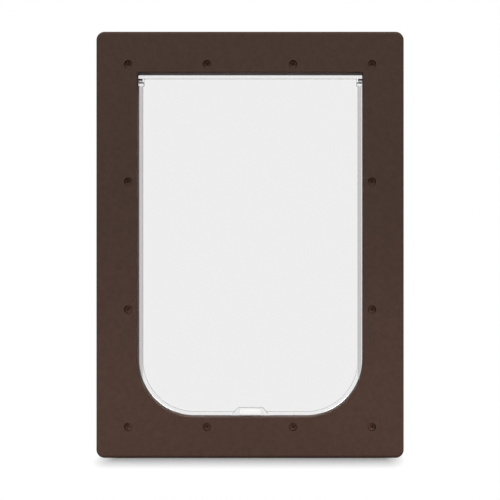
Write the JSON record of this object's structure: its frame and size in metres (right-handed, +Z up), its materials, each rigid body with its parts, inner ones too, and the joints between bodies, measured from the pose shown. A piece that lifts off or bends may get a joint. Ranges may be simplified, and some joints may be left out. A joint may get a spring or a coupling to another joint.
{
  "type": "pet door",
  "caption": "Pet door whose screwed front frame and telescoping rear frame clamp a door leaf around a clear two-way flap with a magnet catch.",
  "frame": {"origin": "centre of the base, midway between the outer faces of the two flanges", "axes": "+Z up, +Y from the screwed front face to the closed rear face, +X to the right seen from the front"},
  "size_m": [0.357, 0.056, 0.495],
  "materials": {
    "frame_plastic": "fine spark-textured brown moulding",
    "clear_plastic": "polished clear moulding",
    "white_plastic": "plain white moulding",
    "magnet": "ground dark ferrite",
    "screw_steel": "dark bronze plating",
    "pin_steel": "drawn stainless rod"
  },
  "bodies": {
    "frame": {"front_frame": "frame_plastic", "rear_frame": "frame_plastic", "frame_screws": "screw_steel", "threshold_magnet": "magnet", "hinge_pin_left": "pin_steel", "hinge_pin_right": "pin_steel"},
    "flap": {"flap": "clear_plastic", "magnet_holder": "white_plastic", "flap_magnet": "magnet"}
  },
  "joints": [
    {"name": "flap_swing", "type": "hinge", "parent": "frame", "child": "flap", "pos_m": [0, -0.011, 0.4388], "axis": [1, 0, 0], "range_deg": [-105, 100]}
  ]
}
